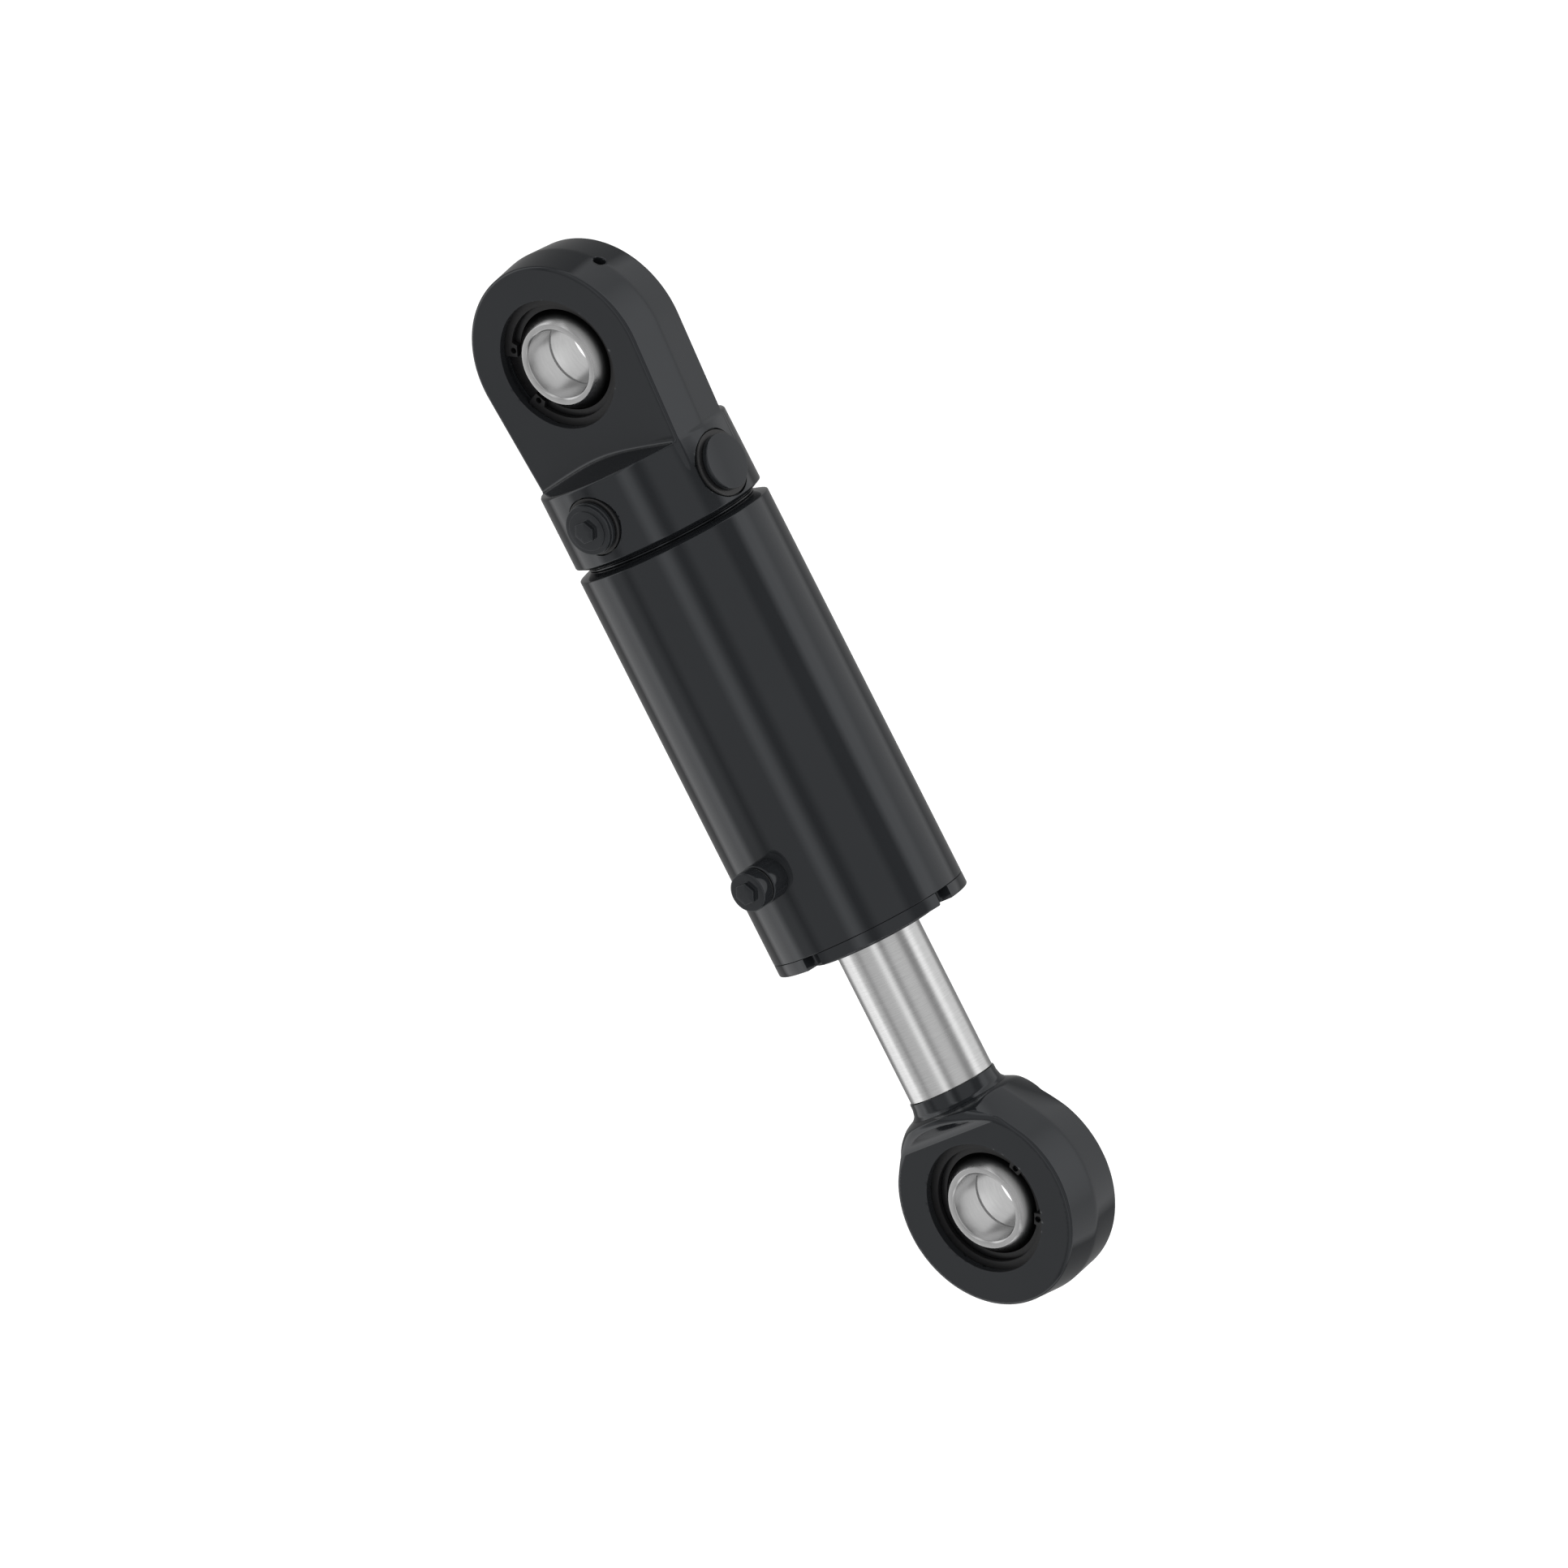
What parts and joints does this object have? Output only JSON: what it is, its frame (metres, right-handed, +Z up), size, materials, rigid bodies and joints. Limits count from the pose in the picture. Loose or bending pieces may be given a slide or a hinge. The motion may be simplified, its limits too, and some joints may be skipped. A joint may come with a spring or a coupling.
{
  "type": "hydraulic cylinder",
  "caption": "Short-stroke double-acting welded hydraulic cylinder, shipped with plugged oil ports and a spherical plain bearing in the eye at each end.",
  "frame": {"origin": "centre of the cap-end bearing bore, midway through the eye", "axes": "+X along the cylinder from the cap end to the rod end, +Y along both bearing bores to the side away from the two front ports, +Z up towards the side port plug"},
  "size_m": [0.4009, 0.0876, 0.0746],
  "materials": {
    "black_paint": "semi-gloss black paint over machined and forged steel",
    "rod_chrome": "ground hard chrome",
    "bearing_steel": "ground bearing steel",
    "black_oxide": "blackened bearing steel",
    "circlip_steel": "black phosphated spring steel",
    "machined_steel": "turned steel, oiled",
    "seal_rubber": "matt black nitrile",
    "seal_urethane": "smooth blue polyurethane",
    "seal_ptfe": "bronze-filled ptfe",
    "guide_band": "fabric-reinforced phenolic"
  },
  "bodies": {
    "barrel": {"barrel_tube": "black_paint", "cap_end": "black_paint", "cap_weld": "black_paint", "gland": "black_paint", "gland_o_ring": "seal_rubber", "gland_backup_ring": "guide_band", "rod_guide_ring": "guide_band", "rod_seal": "seal_urethane", "rod_wiper": "seal_rubber", "cap_port_plug": "black_paint", "cap_port_seal": "seal_rubber", "side_port_plug": "black_paint", "side_port_seal": "seal_rubber", "rod_port_boss": "black_paint", "rod_port_plug": "black_paint", "rod_port_seal": "seal_rubber", "cap_bearing_race": "black_oxide", "cap_circlip_front": "circlip_steel", "cap_circlip_rear": "circlip_steel"},
    "cap_ball": {"cap_bearing_ball": "bearing_steel"},
    "piston_rings": {"piston_guide_ring_rear": "guide_band", "piston_guide_ring_front": "guide_band", "piston_seal": "seal_ptfe", "piston_seal_energiser": "seal_rubber"},
    "rod": {"piston_rod": "rod_chrome", "rod_weld": "black_paint", "rod_eye": "black_paint", "piston": "machined_steel", "piston_nut": "machined_steel", "piston_o_ring": "seal_rubber", "rod_bearing_race": "black_oxide", "rod_circlip_front": "circlip_steel", "rod_circlip_rear": "circlip_steel"},
    "rod_ball": {"rod_bearing_ball": "bearing_steel"}
  },
  "joints": [
    {"name": "rod_slide", "type": "slide", "parent": "barrel", "child": "piston_rings", "axis": [1, 0, 0], "range_m": [-0.05, 0.027]},
    {"name": "rod_turn", "type": "hinge", "parent": "piston_rings", "child": "rod", "pos_m": [0.143, 0, 0], "axis": [1, 0, 0], "continuous": true},
    {"name": "cap_ball_turn", "type": "hinge", "parent": "barrel", "child": "cap_ball", "pos_m": [0, 0, 0], "axis": [0, 1, 0], "continuous": true},
    {"name": "rod_ball_turn", "type": "hinge", "parent": "rod", "child": "rod_ball", "pos_m": [0.32635, 0, 0], "axis": [0, 1, 0], "continuous": true}
  ]
}
